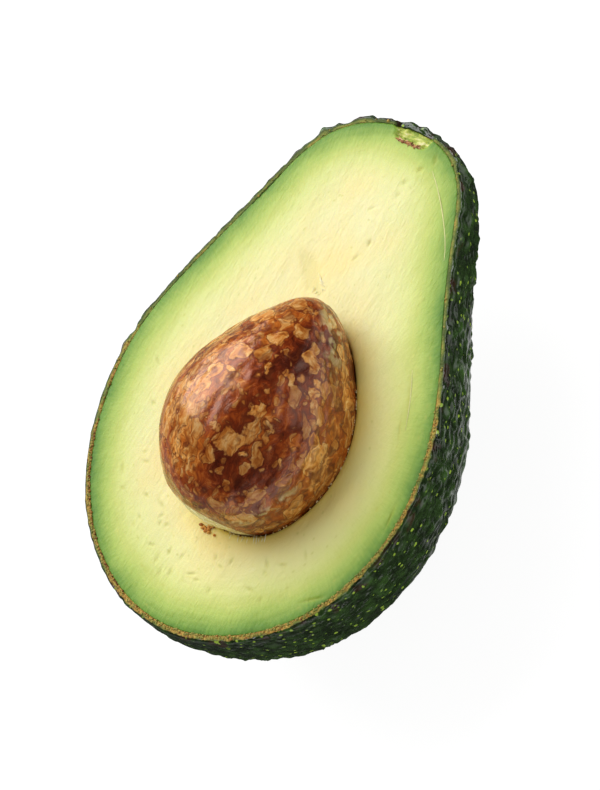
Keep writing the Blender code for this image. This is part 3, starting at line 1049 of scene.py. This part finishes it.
def add_fibres(name, paths, draws):
    """One mesh of tapered threads: each path is a list of points with a radius, in the cut face's frame."""
    sides = 6
    points, faces, shades = [], [], []
    for path, draw in zip(paths, draws):
        first = len(points)
        centres = np.array([point for point, _ in path])
        ways = np.gradient(centres, axis=0)
        for centre, way, (_, radius) in zip(centres, ways, path):
            side = np.cross(way, (0, 0, 1.0))
            side /= max(np.linalg.norm(side), 1e-9)
            up = np.cross(side, way) / max(np.linalg.norm(way), 1e-9)
            for step in range(sides):
                angle = 2 * math.pi * step / sides
                points.append(centre + radius * (side * math.cos(angle) + up * math.sin(angle)))
        for row in range(len(path) - 1):
            for step in range(sides):
                a = first + row * sides + step
                b = first + row * sides + (step + 1) % sides
                faces.append((a, b, b + sides, a + sides))
        faces.append(tuple(first + step for step in reversed(range(sides))))
        faces.append(tuple(first + (len(path) - 1) * sides + step for step in range(sides)))
        shades += [draw] * (len(path) * sides)
    piece = add_mesh(name, np.array(points), faces, shades)
    close_up(piece)
    return piece


def bent_path(corners, radius, height, steps=5):
    """A smooth tapered path through corners on the cut face, in mm, at a height above it."""
    corners = np.array(corners, float) * MM
    runs = np.linspace(0, len(corners) - 1, (len(corners) - 1) * steps + 1)
    flat = np.stack([np.interp(runs, range(len(corners)), corners[:, axis]) for axis in range(2)], axis=1)
    for _ in range(6):
        flat[1:-1] = (flat[:-2] + 2 * flat[1:-1] + flat[2:]) / 4
    taper = np.sin(np.pi * np.clip(runs / runs[-1], 0.06, 0.94)) ** 0.6
    return [(np.array((x, y, height)), radius * thin) for (x, y), thin in zip(flat, taper)]


def short_thread(x, y, turn, reach, radius, height):
    """A straight tapered thread about a place in mm on the cut face, reaching as far to either side."""
    middle, way = np.array((x, y)), np.array((math.cos(turn), math.sin(turn))) * reach
    return bent_path((middle - way, middle, middle + way), radius, height, 2)


# Strands of the fruit that the knife laid bare, as corners in mm on the cut face.
STRANDS = (
    ((7.7, 46.3), (12.1, 42.4), (16.4, 37.5), (20.0, 32.5), (22.2, 27.3)),
    ((25.7, 9.4), (28.3, 4.5), (30.2, -0.9)),
)


class AVOCADO_OT_fibres(bpy.types.Operator):
    """Make the strands on the cut face, the torn fibres by the seed and the scar of the stalk"""

    bl_idname = "avocado.fibres"
    bl_label = "Fibres"

    def execute(self, context):
        chance = random.Random(7)
        strands = [bent_path(corners, 0.14 * MM, -0.07 * MM) for corners in STRANDS]
        piece = add_fibres("strands", strands, [0.5] * len(strands))
        stops = {0.0: "#9fae4c", 0.35: "#c5cb74", 0.7: "#efe7ac", 1.0: "#f8f3d0"}
        moist = crumb_material("moist_fibre", stops, 0.45)
        piece.data.materials.append(moist)
        settle(piece, None)

        # Torn fibres just above the seed, along the edge of the smooth patch, and below the seed.
        torn = []
        for _ in range(4):
            x = chance.uniform(-2.6, 0.9)
            y = 15.9 - 0.25 * x + chance.uniform(-0.4, 0.5)
            torn.append((x, y, math.radians(75 + chance.gauss(0, 14))))
        for _ in range(10):
            y = chance.uniform(16.5, 19.5)
            x = -2.0 - 0.9 * (y - 18.8) + chance.uniform(-0.3, 0.4)
            torn.append((x, y, math.radians(150 + chance.gauss(0, 16))))
        for _ in range(12):
            turn = math.radians(chance.uniform(258, 300))
            out = np.array((math.cos(turn), math.sin(turn), 0.0))
            foot = cast(out[None], outside_seed)[0] + out * chance.uniform(0.5, 0.9) * MM
            torn.append((*foot[:2] / MM, turn + math.radians(chance.gauss(0, 10))))
        paths = [
            short_thread(*place, chance.uniform(0.4, 0.9), chance.uniform(0.05, 0.10) * MM, 0.02 * MM)
            for place in torn
        ]
        fringe = add_fibres("torn_fibres", paths, [chance.uniform(0.75, 1.0) for _ in paths])
        fringe.data.materials.append(moist)
        settle(fringe, None)

        # The scar of the stalk is a band of short brown threads in the notch.
        scar = []
        for _ in range(44):
            along = chance.random()
            x, y = -0.9 + 5.3 * along, 48.35 - 0.45 * along + chance.uniform(-0.30, 0.30)
            turn, reach = math.radians(-5 + chance.gauss(0, 24)), chance.uniform(0.25, 0.7)
            radius, height = chance.uniform(0.08, 0.19) * MM, chance.uniform(-0.15, 0.05) * MM
            scar.append(short_thread(x, y, turn, reach, radius, height))
        piece = add_fibres("stalk_scar", scar, [chance.random() for _ in scar])
        brown = {0.0: "#6f3c1c", 0.4: "#a26434", 0.75: "#c48f58", 1.0: "#e0bc8c"}
        piece.data.materials.append(crumb_material("corky_scar", brown, 0.7))
        settle(piece, "stem_scar")
        return {"FINISHED"}


class AVOCADO_OT_crumbs(bpy.types.Operator):
    """Scatter the grit on the cut edge of the peel and the crumbs round the foot of the seed"""

    bl_idname = "avocado.crumbs"
    bl_label = "Crumbs"

    def execute(self, context):
        look = context.scene.avocado.skin
        chance = random.Random(11)
        template = lump_template()
        segments = 2000
        _, rim, edge = rim_lines(segments, look.thickness)
        ochre = rim_ochre(rim)
        places, sizes, draws = [], [], []
        for _ in range(1800):
            at = chance.randrange(segments)
            if chance.random() > (ochre[at] / MOST_OCHRE) ** 3 or in_notch(edge[at][None])[0] > 0.1:
                continue
            across = chance.uniform(0.45, 1.0)
            place = rim[at] + (edge[at] - rim[at]) * across
            place[2] = chance.uniform(-0.06, 0.06) * MM
            places.append(place)
            sizes.append(chance.uniform(0.10, 0.26) * MM)
            usual = 0.35 + 0.5 * (across > 0.8) * (rim[at][0] < 0)
            draws.append(np.clip(chance.gauss(usual, 0.22), 0, 1))
        grit = add_bits("peel_grit", template, places, sizes, draws, chance)
        ochres = {0.0: "#767f33", 0.35: "#9a9240", 0.65: "#b39a48", 0.85: "#a8702c", 1.0: "#754418"}
        grit.data.materials.append(crumb_material("ochre_grit", ochres))
        settle(grit, None)

        # A small heap by the foot of the seed, then finer crumbs along its edge.
        places, sizes, draws = [], [], []
        for _ in range(26):
            places.append(np.array((1.2 + chance.gauss(0, 0.9), -31.5 + chance.gauss(0, 0.35), 0.25)) * MM)
            sizes.append(chance.uniform(0.16, 0.36) * MM)
            draws.append(chance.uniform(0.35, 0.9))
        for _ in range(90):
            turn = math.radians(chance.uniform(270, 400))
            out = np.array((math.cos(turn), math.sin(turn), 0.0))
            foot = cast(out[None], outside_seed)[0] + out * 0.12 * MM
            places.append(foot + np.array((0, 0, chance.uniform(-0.1, 0.1) * MM)))
            sizes.append(chance.uniform(0.07, 0.15) * MM)
            draws.append(chance.choice((0.0, 0.1, 0.95)))
        crumbs = add_bits("seed_crumbs", template, places, sizes, draws, chance)
        browns = {0.0: "#ead8a0", 0.3: "#e6a850", 0.7: "#cf862f", 1.0: "#7a3c14"}
        crumbs.data.materials.append(crumb_material("seed_crumb", browns))
        settle(crumbs, None)
        return {"FINISHED"}


class AVOCADO_OT_stage(bpy.types.Operator):
    """Lay the floor and set the lights and the camera"""

    bl_idname = "avocado.stage"
    bl_label = "Stage"

    def execute(self, context):
        look = context.scene.avocado.stage
        deselect_all()
        bpy.ops.mesh.primitive_plane_add(size=6.0, location=(0, 0, 0))
        floor = context.active_object
        floor.name = "floor"
        # White translucent board, lit a little from below.
        material, add = new_material("white_board")
        board = add(
            "BsdfPrincipled",
            {
                "Base Color": look.floor,
                "Roughness": 0.9,
                "Specular IOR Level": 0.1,
                "Emission Color": linear("#ffffff"),
                "Emission Strength": look.floor_glow,
            },
        )
        # Reflections show the board dark round the fruit, and bright further out and under its upper end.
        place = add("TexCoord", output="Object")
        away = add("VectorMath", (place,), output="Value", operation="LENGTH")
        shine = add("MapRange", (away, 0.07, 0.16, 0.05, look.floor_shine))
        across = add("SeparateXYZ", (place,), output="X")
        near_side = add("MapRange", (across, -0.05, 0.15, 0.2))
        far_off = add("MapRange", (away, 0.55, 0.28, 0.12))
        near_side = add("Math", (near_side, far_off), operation="MULTIPLY")
        lengthways = add("SeparateXYZ", (place,), output="Y")
        upper_end = add("MapRange", (lengthways, -0.035, 0.0))
        below = add("MapRange", (away, 0.042, 0.028, 0.0, look.under_shine))
        below = add("Math", (below, upper_end), operation="MULTIPLY")
        shine = add("Math", (shine, near_side, below), operation="MULTIPLY_ADD")
        card = add("Emission", {"Color": linear("#ffffff"), "Strength": shine})
        mirrored = add("LightPath", output="Is Glossy Ray")
        surface = add("MixShader", (mirrored, board, card))
        add("OutputMaterial", {"Surface": surface})
        floor.data.materials.append(material)

        world = bpy.data.worlds.new("studio")
        world.use_nodes = True
        # The room is bright but the lamps stand in front of dark cloth, which is all that shines back.
        world.node_tree.nodes.clear()
        add = partial(wire, world.node_tree)
        mirrored = add("LightPath", output="Is Glossy Ray")
        strength = add("MapRange", (mirrored, 0.0, 1.0, look.room_light, look.room_shine))
        background = add("Background", {"Color": linear("#ffffff"), "Strength": strength})
        add("OutputWorld", {"Surface": background})
        context.scene.world = world

        aim = Vector((0.0, -0.003, 0.03))
        add_soft_light("key", aim, look.key_light, direction=(-0.66, 0.27, 0.70), distance=1.5, size=1.4)
        add_soft_light("side", aim, look.side_light, direction=(0.80, 0.55, 0.16), distance=0.8, size=0.5)

        target = Vector((6.0 * MM - MIDDLE_X, -2.5 * MM, CUT_HEIGHT))
        tilt, bearing, roll = math.radians(38), math.radians(-8), math.radians(27)
        level = math.sin(tilt)
        back = Vector((level * math.cos(bearing), level * math.sin(bearing), math.cos(tilt)))
        along = Vector((0, 1, 0))
        straight_up = (along - back * along.dot(back)).normalized()
        straight_right = straight_up.cross(back)
        up = straight_up * math.cos(roll) - straight_right * math.sin(roll)
        right = straight_right * math.cos(roll) + straight_up * math.sin(roll)
        bpy.ops.object.camera_add(location=target + back * look.camera_distance)
        camera = context.active_object
        camera.name = "camera"
        camera.rotation_euler = Matrix((right, up, back)).transposed().to_euler()
        camera.data.sensor_width = 36.0
        camera.data.lens = look.lens
        camera.data.clip_start = 0.01
        context.scene.camera = camera
        context.scene.view_settings.view_transform = "Standard"
        return {"FINISHED"}


def add_soft_light(name, aim, power, direction, distance, size):
    """A square soft box that faces the fruit, with its power in watts."""
    way = Vector(direction).normalized()
    turn = way.to_track_quat("Z", "Y").to_euler()
    deselect_all()
    bpy.ops.object.light_add(type="AREA", location=aim + way * distance, rotation=turn)
    light = bpy.context.active_object
    light.name = name
    light.data.shape = "SQUARE"
    light.data.size = size
    light.data.energy = power


class AVOCADO_PT_panel(bpy.types.Panel):
    """Lists the settings and the pieces"""

    bl_label = "Avocado Half"
    bl_space_type = "VIEW_3D"
    bl_region_type = "UI"
    bl_category = "Avocado"

    def draw(self, context):
        settings = context.scene.avocado
        for group in (settings.skin, settings.flesh, settings.seed, settings.stage):
            box = self.layout.box()
            for name in group.__annotations__:
                box.prop(group, name)
        for operator in OPERATORS:
            self.layout.operator(operator.bl_idname)


SETTINGS = (SkinSettings, FleshSettings, SeedSettings, StageSettings, AvocadoSettings)
OPERATORS = (
    AVOCADO_OT_skin,
    AVOCADO_OT_flesh,
    AVOCADO_OT_seed,
    AVOCADO_OT_fibres,
    AVOCADO_OT_crumbs,
    AVOCADO_OT_stage,
)


def register():
    for cls in (*SETTINGS, *OPERATORS, AVOCADO_PT_panel):
        bpy.utils.register_class(cls)
    bpy.types.Scene.avocado = bpy.props.PointerProperty(type=AvocadoSettings)


def unregister():
    del bpy.types.Scene.avocado
    for cls in reversed((*SETTINGS, *OPERATORS, AVOCADO_PT_panel)):
        bpy.utils.unregister_class(cls)


def main():
    """Makes every piece in order."""
    register()
    bpy.ops.avocado.skin()
    bpy.ops.avocado.flesh()
    bpy.ops.avocado.seed()
    bpy.ops.avocado.fibres()
    bpy.ops.avocado.crumbs()
    bpy.ops.avocado.stage()


if __name__ == "__main__":
    main()
